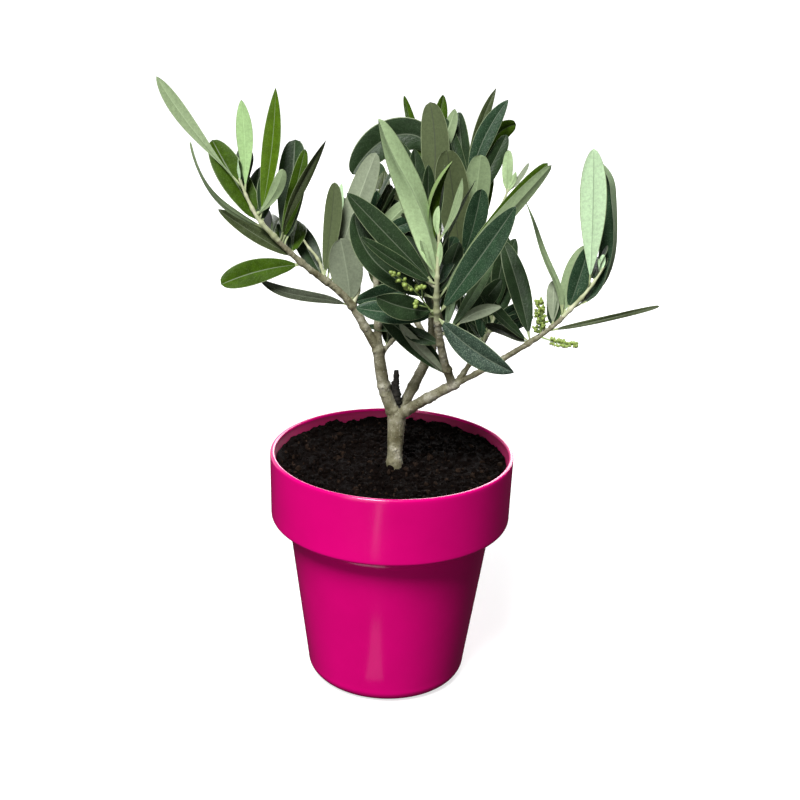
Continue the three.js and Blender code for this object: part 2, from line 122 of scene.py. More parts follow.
# The leading leaves of each shoot, roughly from the lowest up.
LEADING = {
    "left_tip": [
        leaf(-61, (-68, -84, -78, -52), 15, 50, 7, 22, "grey", tip=0.7, fold=20),
        leaf(-59, (-4, -12), 25, 35, 17, 186, "grey", fold=6, tip=0.5),
        leaf(-58, 77, -10, 30, 12, 20, "teal"),
        leaf(-44, (18, 23), 10, 69, 13, 172, "grey", fold=10, tip=0.5, belly=0.64),
        leaf(-42, (10, 8), 2, 50, 6, 160, "pale"),
        leaf(-40, (-30, -22), -20, 38, 12, 20, "dark"),
        leaf(-40, (10, 6), 16, 49, 11, 152, "olive", fold=14, tip=0.5, belly=0.6),
        leaf(-27, (-94, -116), 15, 43, 13.5, 8, "green", tip=0.45, belly=0.62),
        leaf(-23, (-62, -54), 13, 46, 9.5, 28, "olive", tip=0.7),
        leaf(-14, (9, 3), -2, 54, 15, -8, "dark", tip=0.4, belly=0.62),
        leaf(-12, (16, 14), 5, 48, 8, 12, "green", tip=0.5, fold=16),
        leaf(-11, (14, 30, 34), 18, 56, 6, 34, "olive", fold=20, tip=0.8),
        leaf(-1, (-70, -56, -28, -8), 15, 58, 4.2, 128, "sage", fold=4, tip=0.5, belly=0.4),
        leaf(4, 2, -15, 28, 9, 30, "dark"),
        leaf(3, (-34, -27), -4, 50, 15.5, 12, "green", fold=18, tip=0.5),
        leaf(6, (14, 2), 5, 65, 10, -14, "fresh", fold=22, tip=0.85, belly=0.5),
        leaf(9, (52, 14), 15, 27, 6.5, 180, "sage", tip=0.45, belly=0.66),
        leaf(21, (4, -6), 8, 45, 8.5, 165, "fresh", fold=6, tip=0.7, belly=0.6),
        leaf(24, (-42, -38, -31), -10, 74, 8, 168, "sage", fold=8, tip=0.75, belly=0.7),
        leaf(26, (-20, 12), 20, 13, 3, 120, "pale"),
        leaf(27, (8, -16), 16, 10, 2.6, 60, "pale"),
    ],
    "left_inner": [
        leaf(-12, (-22, -34), -5, 46, 12, 10, "dark"),
        leaf(2, (30, 55), 0, 34, 10, 172, "sage", tip=0.5),
        leaf(4, (52, 84), 6, 34, 9, 12, "teal"),
        leaf(-28, (-6, 10), 24, 9, 3, 180, "pale"),
    ],
    "left_short": [leaf(2, -80, 12, 18, 7, 60, "dark")],
    "centre": [
        leaf(-62, (-44, -52), 22, 52, 12, 6, "dark"),
        leaf(-62, (-52, -36), 30, 42, 7, 150, "grey"),
        leaf(-36, -70, 4, 20, 8, 8, "dark"),
        leaf(-19, (-88, -80), 8, 40, 12, 10, "teal"),
        leaf(-19, (142, 114), 20, 49, 14, 26, "blue", tip=0.75, belly=0.5),
        leaf(-16, (-92, -64), 24, 33, 13, -10, "dark", tip=0.7),
        leaf(-19, (38, 35), 27, 68, 14.5, -6, "teal", tip=0.7, belly=0.54),
        leaf(-9, (-72, -50, -2), 10, 61, 13.5, 14, "dark", tip=0.7),
        leaf(-11, (34, 43, 43), 10, 85, 8.5, -156, "sage", tip=0.5, belly=0.6),
        leaf(-11, (33, 41, 42), 6, 85, 9, 4, "green", tip=0.5, belly=0.68),
        leaf(-2, (-45, -44), 14, 62, 13, 12, "dark", tip=0.7),
        leaf(-1, (-66, -54), 26, 46, 7.5, 14, "dark", fold=22),
        leaf(-2, (0, -18, -32, -18), 18, 85, 19, -152, "mint", fold=46, tip=0.55, belly=0.46, twist=-92),
        leaf(0, (-26, -16), 24, 23, 4.5, 130, "mint"),
        leaf(8, (-24, 4, 50), -2, 57, 13, 62, "green", fold=45, tip=0.8),
        leaf(8, (12, 0), 14, 14, 3, 170, "mint"),
        leaf(22, (34, 8), 10, 32, 4.2, 150, "sage", tip=0.7),
        leaf(24, (-22, 22), 10, 15, 4, 150, "mint"),
        leaf(25, (0, 0), 0, 9, 3, 20, "pale"),
    ],
    "centre_side": [
        leaf(5, (10, 12), -2, 30, 5, 158, "pale"),
        leaf(7, (35, 29), 12, 42, 6.5, 10, "sage", fold=18),
        leaf(6, (-2, 20), -14, 44, 11, 20, "dark"),
        leaf(12, (52, 36), -16, 34, 10, 20, "dark"),
        leaf(11, (46, 90), 12, 25, 7, 160, "grey", tip=0.7),
    ],
    "right_inner": [
        leaf(-2, (60, 80), -10, 26, 10, 30, "teal"),
        leaf(2, (40, 75), 5, 26, 9, 30, "teal"),
        leaf(6, (-10, -25), 10, 42, 11, 20, "dark"),
        leaf(10, (5, 15), 5, 42, 11, 20, "dark"),
    ],
    "right_tip": [
        leaf(-31, (-60, -74), 6, 24, 6.5, 30, "grey"),
        leaf(-30, (-56, -36), 16, 38, 8, 34, "dark", fold=22),
        leaf(-30, (-8, -20), -4, 54, 12.5, 14, "dark", tip=0.7),
        leaf(-20, (80, 77), 16, 57, 3.2, 10, "olive", tip=0.35),
        leaf(-16, (0, 4), 0, 23, 7.5, 168, "grey", tip=0.45, belly=0.66),
        leaf(-10, (4, -28, -17, -28), 12, 66, 3.6, 160, "sage", fold=16, tip=1.1, belly=0.26),
        leaf(-9, (8, 28), -5, 38, 11, 160, "sage"),
        leaf(-6, (20, 16), 8, 35, 12, 12, "teal"),
        leaf(-4, (66, 52, 22, 6, 0, -2, -50), -6, 87, 21, -70, "teal", fold=40, twist=-26, tip=0.5),
        leaf(12, (2, -2), 16, 69, 13.5, 181, "pale", fold=4, tip=0.62, belly=0.62),
        leaf(23, (0, 12), 8, 8, 3.4, 170, "pale"),
        leaf(22, (-24, 0), 12, 7, 2.6, 120, "pale"),
    ],
    "top": [
        leaf(4, (-10, -4), 14, 56, 12, 16, "dark"),
        leaf(10, (2, 0), 22, 42, 9, 20, "dark"),
        leaf(18, (-62, -85), 8, 36, 9, 170, "grey"),
        leaf(12, (-74, -92), 6, 36, 10, 14, "dark"),
        leaf(24, (-68, -84), 4, 34, 9, 14, "dark"),
        leaf(28, (-30, -14), 4, 40, 12, 20, "dark"),
        leaf(24, (16, -12), 10, 60, 15, 172, "olive", fold=8, tip=0.48, belly=0.6),
        leaf(55, (10, -88, -130, -152), 2, 58, 19, -10, "dark", tip=0.5, belly=0.46),
        leaf(46, (-20, -11), -8, 46, 8, 36, "green", tip=0.75),
        leaf(50, (14, 9), -10, 42, 9, 30, "green"),
        leaf(50, (32, 16), -4, 35, 8.5, 170, "sage"),
    ],
    "upper_right": [
        leaf(-8, (-6, -9), 22, 61, 18, 176, "olive", fold=10, tip=0.48, belly=0.6),
        leaf(-6, (22, 8), 24, 40, 12, 4, "teal", tip=0.45, belly=0.62),
        leaf(0, (12, 6), 14, 50, 14, 182, "sage", fold=8, tip=0.42, belly=0.62),
        leaf(28, (-18, -12), -2, 46, 11, 26, "dark"),
        leaf(30, (32, 16, 30, 78), -8, 50, 12, 34, "green", tip=0.4, belly=0.6),
        leaf(26, (34, 24), 0, 42, 10, 12, "dark", tip=0.5),
        leaf(33, (8, 40), 8, 52, 10.5, -4, "teal", tip=0.75),
        leaf(33, (4, 27), -2, 57, 7, 22, "olive", tip=0.85),
    ],
    "upper_side": [
        leaf(10, (10, 22), -10, 40, 10, 20, "green"),
        leaf(41, (0, 4), 10, 22, 6, 172, "mint", tip=0.45),
        leaf(41, (44, 30), 10, 19, 3.5, 150, "grey"),
        leaf(41, (34, 12), 14, 12, 3, 160, "mint"),
    ],
    "back": [],
}

# How far before its end, in millimetres, each limb turns from bark to young green wood.
YOUNG = {"centre_stem": 21, "left_long_bough": 9, "right_long_bough": 9}
# The swollen knots where old shoots left a limb, in millimetres before its end.
KNOTS = {"left_long_bough": (60, 42, 26), "centre_stem": (23,), "right_long_bough": (31, 17)}
KNOT_SWELL = 1.38  # a knot's radius over the limb's

# Bare twigs: shoot, place, lean, toward, length and radius.
TWIGS = [
    ("left_tip", -41, -22, 4, 23, 0.8),
    ("left_tip", -60, 22, 6, 16, 1.1),
    ("centre", -3, -52, 14, 6, 0.9),
    ("right_inner", -14, 30, 6, 9, 0.9),
]


def radians(degrees):
    return degrees * math.pi / 180


def vec(*xyz):
    return np.array(xyz, dtype=float)


def unit(v):
    return v / np.linalg.norm(v)


def along(values, t):
    """The value at share t of a number, or of a list whose values are spaced evenly."""
    if np.isscalar(values):
        return values
    return float(np.interp(t * (len(values) - 1), range(len(values)), values))


def turned(v, axis, angle):
    """v turned about a unit axis by an angle in radians."""
    return (v * math.cos(angle) + np.cross(axis, v) * math.sin(angle)
            + axis * (axis @ v) * (1 - math.cos(angle)))


VIEWER = vec(0, -math.cos(radians(LOOK_DOWN)), math.sin(radians(LOOK_DOWN)))
PICTURE_UP = turned(vec(0, math.sin(radians(LOOK_DOWN)), math.cos(radians(LOOK_DOWN))), VIEWER,
                    radians(LOOK_TILT))
PICTURE_RIGHT = np.cross(PICTURE_UP, VIEWER)


def direction(lean, toward):
    """A unit direction from its lean off upright and how far it comes out to the front."""
    a, b = radians(lean), radians(toward)
    flat = PICTURE_RIGHT * math.sin(a) + PICTURE_UP * math.cos(a)
    return flat * math.cos(b) + VIEWER * math.sin(b)


# ---- Mesh helpers ----

def new_object(name, data):
    """An object in the scene that shows a mesh, a light or a camera."""
    made = bpy.data.objects.new(name, data)
    bpy.context.collection.objects.link(made)
    return made


class Soup:
    """Vertices and faces of many small shapes that become one mesh."""

    def __init__(self):
        self.vertices = []
        self.faces = []
        self.materials = []
        self.uvs = []

    def add(self, vertices, faces, materials=0, uvs=None):
        """Adds a shape; its faces share one material number, or have one each."""
        start = len(self.vertices)
        self.vertices.extend(vertices)
        for i, face in enumerate(faces):
            self.faces.append([start + k for k in face])
            self.materials.append(materials if np.isscalar(materials) else materials[i])
        self.uvs.extend(uvs if uvs is not None else [(0, 0)] * len(vertices))

    def build(self, name, *materials):
        """The finished object, smooth all over, with its blade coordinates as a UV map."""
        mesh = bpy.data.meshes.new(name)
        mesh.from_pydata([tuple(v) for v in self.vertices], [], self.faces)
        for material in materials:
            mesh.materials.append(material)
        mesh.polygons.foreach_set("material_index", self.materials)
        mesh.polygons.foreach_set("use_smooth", [True] * len(self.faces))
        layer = mesh.uv_layers.new(name="blade")
        loops = [self.uvs[loop.vertex_index] for loop in mesh.loops]
        layer.data.foreach_set("uv", np.array(loops, dtype=np.float32).ravel())
        mesh.update()
        return new_object(name, mesh)


def place_piece(piece, slot, *nodes):
    """Puts a finished piece on the object, in place of those CAD nodes."""
    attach(piece, "root")
    if nodes:
        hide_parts(*nodes)


def runs(line):
    """How far along a line each of its points is."""
    return np.concatenate([[0], np.cumsum(np.linalg.norm(np.diff(line, axis=0), axis=1))])


def point_at(line, reach):
    """The point that far along a line."""
    return np.array([np.interp(reach, runs(line), line[:, k]) for k in range(3)])


def even_path(points, values, step):
    """A path and its values resampled to even steps, through smooth bends."""
    run = runs(points)
    at = np.linspace(0, run[-1], max(int(run[-1] / step), 3))
    smooth = np.stack([np.interp(at, run, points[:, k]) for k in range(3)], axis=1)
    for _ in range(3):
        smooth[1:-1] = (smooth[:-2] + 2 * smooth[1:-1] + smooth[2:]) / 4
    return smooth, np.interp(at, run, values)


def path_frames(points):
    """Tangents and two steady side directions along a path."""
    tangents = np.gradient(points, axis=0)
    tangents /= np.linalg.norm(tangents, axis=1)[:, None]
    side = np.cross(tangents[0], vec(0.2, 1, 0.1))
    sides = []
    for tangent in tangents:
        side = unit(side - tangent * (side @ tangent))
        sides.append(side)
    sides = np.array(sides)
    return tangents, sides, np.cross(tangents, sides)


def band(low, high, sides, flip=False):
    """The faces between a ring of vertices that starts at low and the next, that starts at high."""
    faces = []
    for k in range(sides):
        n = (k + 1) % sides
        a, b, c, d = low + k, low + n, high + n, high + k
        faces.append([a, d, c, b] if flip else [a, b, c, d])
    return faces


def closed_rings(vertices, sides, first, last):
    """A closed shape from rings of vertices, with a point that closes it at each end."""
    foot, top, end = len(vertices), len(vertices) + 1, len(vertices) - sides
    faces = []
    for low in range(0, end, sides):
        faces += band(low, low + sides, sides)
    for k in range(sides):
        n = (k + 1) % sides
        faces += [[foot, n, k], [top, end + k, end + n]]
    return [*vertices, first, last], faces


def tube(points, radii, sides):
    """A closed tube along a path, with rounded ends."""
    points = np.array(points)
    tangents, side, other = path_frames(points)
    vertices = []
    for point, s, o, radius in zip(points, side, other, radii):
        for angle in np.arange(sides) * 2 * math.pi / sides:
            vertices.append(point + (s * math.cos(angle) + o * math.sin(angle)) * radius)
    return closed_rings(vertices, sides, points[0] - tangents[0] * radii[0] * 0.6,
                        points[-1] + tangents[-1] * radii[-1] * 0.6)


def lathe(profile, sides):
    """A closed turned shape; the profile starts and ends on the axis."""
    angles = [2 * math.pi * k / sides for k in range(sides)]
    vertices = [(r * math.cos(a), r * math.sin(a), z) for r, z in profile[1:-1] for a in angles]
    return closed_rings(vertices, sides, (0, 0, profile[0][1]), (0, 0, profile[-1][1]))


def ball(centre, radius, stretch=None, rings=6, sides=9):
    """A small closed ball, stretched along a vector if one is given."""
    vertices = [centre + vec(0, 0, radius)]
    for i in range(1, rings):
        polar = math.pi * i / rings
        for k in range(sides):
            angle = 2 * math.pi * k / sides
            vertices.append(centre + radius * vec(
                math.sin(polar) * math.cos(angle), math.sin(polar) * math.sin(angle), math.cos(polar)))
    vertices.append(centre - vec(0, 0, radius))
    last = len(vertices) - 1
    faces = [[0, 1 + k, 1 + (k + 1) % sides] for k in range(sides)]
    base = last - sides
    for low in range(1, base, sides):
        faces += band(low, low + sides, sides, flip=True)
    faces += [[last, base + (k + 1) % sides, base + k] for k in range(sides)]
    if stretch is not None:
        axis = unit(stretch)
        amount = np.linalg.norm(stretch)
        vertices = [v + axis * ((v - centre) @ axis) * amount for v in vertices]
    return vertices, faces


# ---- Limb centre lines, from the CAD ----

TRUNK_FOOT = vec(*[(a + b) / 2 for a, b in zip(*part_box("trunk"))])
TRUNK_FOOT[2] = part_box("trunk")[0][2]


def node_triangles(name):
    """The vertices of a CAD node, and the numbers of the three that make each triangle."""
    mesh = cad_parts[name].data
    mesh.calc_loop_triangles()
    vertices = np.array([v.co[:] for v in mesh.vertices])
    return vertices, np.array([t.vertices[:] for t in mesh.loop_triangles])


def section(corners, heights):
    """The centre and the radius of the outline along which triangles cross height 0."""
    cuts = []
    for corner, h in zip(corners, heights):
        points = [
            corner[i] + (corner[j] - corner[i]) * (h[i] / (h[i] - h[j]))
            for i, j in ((0, 1), (1, 2), (2, 0)) if (h[i] > 0) != (h[j] > 0)
        ]
        if len(points) == 2:
            cuts.append(points)
    cuts = np.array(cuts)
    middles = cuts.mean(axis=1)
    lengths = np.linalg.norm(cuts[:, 1] - cuts[:, 0], axis=1)
    centre = (middles * lengths[:, None]).sum(axis=0) / lengths.sum()
    return centre, (np.linalg.norm(middles - centre, axis=1) * lengths).sum() / lengths.sum()


def limb_line(name, slices=13):
    """The centres and radii of a limb at even steps, from its foot to its tip."""
    vertices, triangles = node_triangles(name)
    middle = vertices.mean(axis=0)
    axis = np.linalg.svd(vertices - middle, full_matrices=False)[2][0]
    if axis @ (TRUNK_FOOT - middle) > 0:
        axis = -axis
    if name == "trunk":
        axis = vec(0, 0, 1)
    heights = (vertices - middle) @ axis
    levels = np.linspace(heights.min(), heights.max(), slices + 2)[1:-1]
    sections = [section(vertices[triangles], heights[triangles] - level) for level in levels]
    return tuple(np.array(values) for values in zip(*sections))


LIMB_NAMES = [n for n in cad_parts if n.endswith(("_bough", "_stem")) or n in ("trunk", "dead_stub")]
FOLIAGE_NAMES = [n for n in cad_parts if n.endswith("_foliage")]
LINES = {name: limb_line(name) for name in LIMB_NAMES}


def limb_end(name):
    """Where a limb ends, the way it points there, and its radius."""
    centres, radii = LINES[name]
    axis = unit(centres[-1] - centres[-3])
    gap = np.linalg.norm(centres[-1] - centres[-2])
    return centres[-1] + axis * gap * 0.9, axis, radii[-1]


def limb_place(name, reach):
    """The point on a limb, that many metres before its end, and the limb's radius there."""
    centres, radii = LINES[name]
    back = np.vstack([centres, limb_end(name)[0]])[::-1]
    return point_at(back, reach), np.interp(reach, runs(back), np.append(radii, radii[-1])[::-1])


# ---- Materials ----

VEIN_SLANT = 34  # how far the side veins slant towards the tip, in radians of their wave
VEIN_WAVE = 88  # radians of their wave along a whole leaf, which makes 14 to each side


def scaled(colour, factor):
    return tuple(min(c * factor, 1) for c in colour)


def blended(first, second, share):
    return tuple(a + (b - a) * share for a, b in zip(first, second))


class Surface:
    """A material in the making: its shader, and the nodes that vary it over the surface."""

    def __init__(self, name, roughness, specular=0.5):
        self.material = bpy.data.materials.new(name)
        self.material.use_nodes = True
        self.nodes = self.material.node_tree.nodes
        self.links = self.material.node_tree.links
        self.shader = self.nodes["Principled BSDF"]
        self.shader.inputs["Roughness"].default_value = roughness
        self.shader.inputs["Specular IOR Level"].default_value = specular

    def node(self, kind, inputs=(), **settings):
        """A node with those settings; each of its inputs is a value, or another node's output."""
        node = self.nodes.new("ShaderNode" + kind)
        for name, value in settings.items():
            setattr(node, name, value)
        for name, value in dict(inputs).items():
            if isinstance(value, bpy.types.NodeSocket):
                self.links.new(value, node.inputs[name])
            else:
                node.inputs[name].default_value = value
        return node

    def noise(self, scale, detail=4, roughness=0.55):
        place = self.node("TexCoord").outputs["Object"]
        inputs = {"Scale": scale, "Detail": detail, "Roughness": roughness, "Vector": place}
        return self.node("TexNoise", inputs).outputs["Fac"]

    def maths(self, operation, *values):
        return self.node("Math", enumerate(values), operation=operation).outputs["Value"]

    def ramp(self, source, *stops):
        """Colours along a noise, through (position, colour) stops."""
        node = self.node("ValToRGB", {"Fac": source})
        ramp = node.color_ramp
        while len(ramp.elements) < len(stops):
            ramp.elements.new(0.5)
        for element, (position, colour) in zip(ramp.elements, stops):
            element.position = position
            element.color = (*colour, 1)
        return node.outputs["Color"]

    def spots(self, ground, source, start, end, share, colour):
        """A ground colour, with spots of another where a noise rises from start to end."""
        mask = self.ramp(source, (start, (0, 0, 0)), (end, (share, share, share)))
        inputs = {"Factor": mask, "A": ground, "B": (*colour, 1)}
        return self.node("Mix", inputs, data_type="RGBA").outputs["Result"]

    def side_veins(self):
        """Faint veins that leave the rib at a slant, from the blade's own coordinates."""
        blade = self.node("TexCoord").outputs["UV"]
        place = self.node("SeparateXYZ", {"Vector": blade}).outputs
        off_rib = self.maths("ABSOLUTE", self.maths("SUBTRACT", place["X"], 0.5))
        slant = self.maths("MULTIPLY", off_rib, -VEIN_SLANT)
        return self.maths("SINE", self.maths("MULTIPLY_ADD", place["Y"], VEIN_WAVE, slant))

    def finished(self, colour, height=None, strength=0, distance=0):
        """The material, with its colour and a relief of that height linked to the shader."""
        self.links.new(colour, self.shader.inputs["Base Color"])
        if height is not None:
            bump = self.node("Bump", {"Strength": strength, "Distance": distance, "Height": height})
            self.links.new(bump.outputs["Normal"], self.shader.inputs["Normal"])
        return self.material


def leaf_top_material(name, colour, specks, sheen):
    """Smooth leathery green, faintly mottled, with pale specks and slanting side veins."""
    surface = Surface(name, 0.42, sheen)
    green = surface.ramp(surface.noise(240, 6, 0.7), (0.30, scaled(colour, 0.72)), (0.5, colour),
                         (0.70, scaled(colour, 1.35)))
    pale = blended(scaled(colour, 3), (0.30, 0.36, 0.26), 0.4)
    speckled = surface.spots(green, surface.noise(2100, 2), 0.52, 0.72, specks, pale)
    height = surface.maths("MULTIPLY_ADD", surface.side_veins(), 0.07, surface.noise(1300, 3))
    return surface.finished(speckled, height, 0.5, 0.0004)


def leaf_under_material(name, colour):
    """The matt, finely felted underside, with a few dark specks."""
    surface = Surface(name, 0.66, 0.2)
    felt = surface.ramp(surface.noise(700, 4, 0.7), (0.30, scaled(colour, 0.80)), (0.52, colour),
                        (0.72, scaled(colour, 1.15)))
    speckled = surface.spots(felt, surface.noise(1500, 1), 0.70, 0.80, 0.55, scaled(colour, 0.35))
    height = surface.maths("MULTIPLY_ADD", surface.side_veins(), 0.03, surface.noise(2000, 2))
    return surface.finished(speckled, height, 0.45, 0.0003)


def plain_leaf_material(name, colour, roughness):
    """Ribs, margins, stalks and buds: one green, a little uneven."""
    surface = Surface(name, roughness)
    return surface.finished(surface.ramp(
        surface.noise(600, 3), (0.3, scaled(colour, 0.85)), (0.7, scaled(colour, 1.1))))


def bark_material():
    """Smooth bark in patches from olive brown to pale grey, with dark freckles and pale pores."""
    surface = Surface("bark", 0.55, 0.4)
    patches = surface.ramp(
        surface.noise(95, 6, 0.65), (0.33, (0.085, 0.075, 0.034)), (0.44, (0.165, 0.155, 0.088)),
        (0.55, (0.258, 0.246, 0.162)), (0.68, (0.450, 0.436, 0.340)))
    freckled = surface.spots(
        patches, surface.noise(1300, 2), 0.60, 0.68, 0.7, (0.050, 0.040, 0.022))
    pored = surface.spots(freckled, surface.noise(950, 1), 0.68, 0.74, 0.6, (0.480, 0.450, 0.370))
    return surface.finished(pored, surface.noise(700, 5), 0.6, 0.0006)


def shoot_material():
    """Young wood: tan-grey to pale green."""
    surface = Surface("young_shoot", 0.62)
    colour = surface.ramp(surface.noise(120, 4), (0.35, (0.30, 0.32, 0.17)),
                          (0.55, (0.44, 0.47, 0.28)), (0.7, (0.54, 0.52, 0.38)))
    return surface.finished(colour, surface.noise(1400, 3), 0.4, 0.0003)


def dead_wood_material():
    """Charred wood, nearly black, with deep relief."""
    surface = Surface("dead_wood", 0.9)
    char = surface.noise(500, 6)
    colour = surface.ramp(char, (0.35, (0.004, 0.004, 0.003)), (0.7, (0.030, 0.025, 0.020)))
    return surface.finished(colour, char, 0.9, 0.001)


def pot_material(name, dark, light, low, high):
    """Moulded plastic in strong magenta, its roughness between low and high."""
    surface = Surface(name, high)
    colour = surface.ramp(surface.noise(22, 3), (0.3, dark), (0.7, light))
    smear = surface.node("MapRange", {"Value": surface.noise(60, 4), "To Min": low, "To Max": high})
    surface.links.new(smear.outputs["Result"], surface.shader.inputs["Roughness"])
    return surface.finished(colour, surface.noise(90, 2), 0.06, 0.0004)


def soil_material(name, dark, light):
    """Damp peat, dark with a few lighter grains."""
    surface = Surface(name, 0.95, 0.06)
    colour = surface.ramp(
        surface.noise(650, 6), (0.35, dark), (0.62, scaled(dark, 2.2)), (0.8, light))
    return surface.finished(colour, surface.noise(1800, 5), 0.8, 0.0006)


# ---- Pot ----

POT_LOW, POT_HIGH = (vec(*corner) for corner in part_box("pot"))
POT_HEIGHT = POT_HIGH[2] - POT_LOW[2]
RIM_RADIUS = (POT_HIGH[0] - POT_LOW[0]) / 2
SHOULDER_RADIUS = RIM_RADIUS * 0.849
FOOT_RADIUS = RIM_RADIUS * 0.671
BAND_BOTTOM = POT_HIGH[2] - POT_HEIGHT * 0.285
WALL = 2.5 * MM
POT_SIDES = 180


def arc(x, z, radius, start, end, steps):
    """Points on an arc round x, z, from one angle in degrees to another."""
    angles = np.radians(np.linspace(start, end, steps + 1))
    return [(x + radius * math.cos(a), z + radius * math.sin(a)) for a in angles]


def straight(start, end, shares):
    """Points at those shares of a straight line."""
    return [(start[0] + (end[0] - start[0]) * t, start[1] + (end[1] - start[1]) * t) for t in shares]


def pot_outside():
    """The profile from the middle of the underside to the inner edge of the rim."""
    band = RIM_RADIUS - 0.6 * MM
    lip, foot, corner, fillet, hollow = WALL / 2, 7.5 * MM, 2 * MM, 0.8 * MM, 0.6 * MM
    return [
        (0, hollow), (FOOT_RADIUS - foot - 6 * MM, hollow), (FOOT_RADIUS - foot - 5 * MM, 0),
        *arc(FOOT_RADIUS - foot, foot, foot, -90, 0, 12),
        *straight((FOOT_RADIUS, foot), (SHOULDER_RADIUS, BAND_BOTTOM - fillet), np.linspace(0.02, 1, 14)),
        *arc(SHOULDER_RADIUS + fillet, BAND_BOTTOM - fillet, fillet, 180, 90, 4),
        *arc(band - corner, BAND_BOTTOM + corner, corner, -90, 0, 8),
        *straight((band, BAND_BOTTOM + corner), (RIM_RADIUS, POT_HEIGHT - lip), np.linspace(0.05, 0.95, 8)),
        *arc(RIM_RADIUS - lip, POT_HEIGHT - lip, lip, 0, 180, 10),
    ]


def pot_inside():
    """The profile from just under the rim down to the middle of the floor."""
    wall, ledge = RIM_RADIUS - WALL, BAND_BOTTOM + WALL
    return [
        (wall - 0.1 * MM, POT_HEIGHT - 3.2 * MM), (wall - 0.5 * MM, POT_HEIGHT - 3.6 * MM),
        (wall - 1.1 * MM, ledge), (SHOULDER_RADIUS - WALL, ledge),
        (FOOT_RADIUS - WALL, 3 * MM), (0, 3 * MM),
    ]


def make_pot():
    """The turned shell, glossy outside and on the rim; the inner wall is rougher, and its darker magenta is
    painted shade.
    """
    outside = pot_outside()
    vertices, faces = lathe(outside + pot_inside(), POT_SIDES)
    shown = (len(outside) - 2) * POT_SIDES
    soup = Soup()
    soup.add(vertices, faces, [0 if i < shown else 1 for i in range(len(faces))])
    piece = soup.build(
        "pot_shell",
        pot_material("pot_plastic", (0.62, 0.0, 0.157), (0.70, 0.0, 0.180), 0.16, 0.24),
        # The inner wall's darker magenta is painted shade for the inside of the pot.
        pot_material("pot_inner_wall_painted_shade", (0.23, 0.0, 0.052), (0.36, 0.0, 0.088), 0.6, 0.8))
    place_piece(piece, "pot", "pot")


# ---- Soil ----

SOIL_TOP = TRUNK_FOOT[2] - 0.3 * MM
SOIL_RADIUS = RIM_RADIUS - WALL - 1.2 * MM
SKIRT_IN, SKIRT_BOTTOM = 1 * MM, BAND_BOTTOM + 4 * MM
SOIL_RINGS, SOIL_SIDES = 88, 260
# The soil's hollows, lumps and grains: how fine they are, a seed, and their height in millimetres.
SOIL_RELIEF = [(45, 2.0, 1.0), (170, 5.0, 1.4), (420, 9.0, 1.2)]
CRUMBS = 2200
CRUMB_SIZES = (0.4, 0.5, 0.7, 0.9, 1.2, 1.6)  # millimetres


def soil_height(x, y):
    """The crumbly surface, banked up at the wall and a little round the trunk."""
    relief = sum(noise.noise(Vector((x * fine, y * fine, seed))) * high
                 for fine, seed, high in SOIL_RELIEF)
    edge = max(0.0, (math.hypot(x, y) - SOIL_RADIUS * 0.86) / (SOIL_RADIUS * 0.14))
    bank = edge * (1.3 + 1.6 * noise.noise(Vector((x * 130, y * 130, 14.0))))
    mound = 0.9 * math.exp(-(math.dist((x, y), TRUNK_FOOT[:2]) / (8 * MM)) ** 2)
    return SOIL_TOP + (relief - 0.2 + bank + mound) * MM


def make_soil():
    """The soil's surface in rings round the middle, with a skirt inside the pot's wall."""
    sides = SOIL_SIDES
    vertices, faces = [], []
    for i in range(1, SOIL_RINGS + 1):
        r = SOIL_RADIUS * i / SOIL_RINGS
        for k in range(sides):
            angle = 2 * math.pi * (k + 0.5 * (i % 2)) / sides
            x, y = r * math.cos(angle), r * math.sin(angle)
            vertices.append((x, y, soil_height(x, y)))
    top = len(vertices)
    edge, skirt = top - sides, top + 1
    for low in range(0, edge, sides):
        faces += band(low, low + sides, sides, flip=True)
    vertices.append((0, 0, soil_height(0, 0)))
    faces += [[top, k, (k + 1) % sides] for k in range(sides)]
    for k in range(sides):
        x, y, _ = vertices[edge + k]
        inward = 1 - SKIRT_IN / SOIL_RADIUS
        vertices.append((x * inward, y * inward, SKIRT_BOTTOM))
    faces += band(edge, skirt, sides, flip=True)
    faces.append([skirt + k for k in reversed(range(sides))])
    soup = Soup()
    soup.add(vertices, faces)
    material = soil_material("soil", (0.0014, 0.0007, 0.0005), (0.017, 0.009, 0.006))
    place_piece(soup.build("soil_bed", material), "soil", "soil")


def make_crumbs():
    """Loose crumbs and a few fibres on the soil."""
    soup = Soup()
    rng = random.Random(3)
    for _ in range(CRUMBS):
        r, angle = SOIL_RADIUS * 0.97 * math.sqrt(rng.random()), rng.uniform(0, 2 * math.pi)
        x, y = r * math.cos(angle), r * math.sin(angle)
        size = rng.choice(CRUMB_SIZES) * MM * rng.uniform(0.7, 1.2)
        centre = vec(x, y, soil_height(x, y) + size * 0.3)
        vertices, faces = ball(centre, size, rings=4, sides=6)
        squash = [rng.uniform(0.5, 1.2) for _ in range(3)]
        vertices = [centre + (v - centre) * squash * rng.uniform(0.8, 1.15) for v in vertices]
        soup.add(vertices, faces, rng.choice((0, 0, 0, 0, 0, 1)))
    piece = soup.build(
        "soil_crumbs", soil_material("soil_crumb", (0.0018, 0.0009, 0.0006), (0.022, 0.012, 0.008)),
        soil_material("soil_fibre", (0.010, 0.006, 0.004), (0.075, 0.050, 0.035)))
    for polygon in piece.data.polygons:
        polygon.use_smooth = False
    place_piece(piece, "soil")


# ---- Trunk, boughs and shoots ----

BARK_STEP, TWIG_STEP = 0.8, 0.6  # millimetres between the rings of a limb and of a shoot
LIMB_ROOT = 5 * MM  # how deep a limb's bark starts inside the wood that it grows from
KNUCKLE_DROP, KNUCKLE_SWELL = 1.5 * MM, 1.22  # how far below the trunk's end, and over its radius
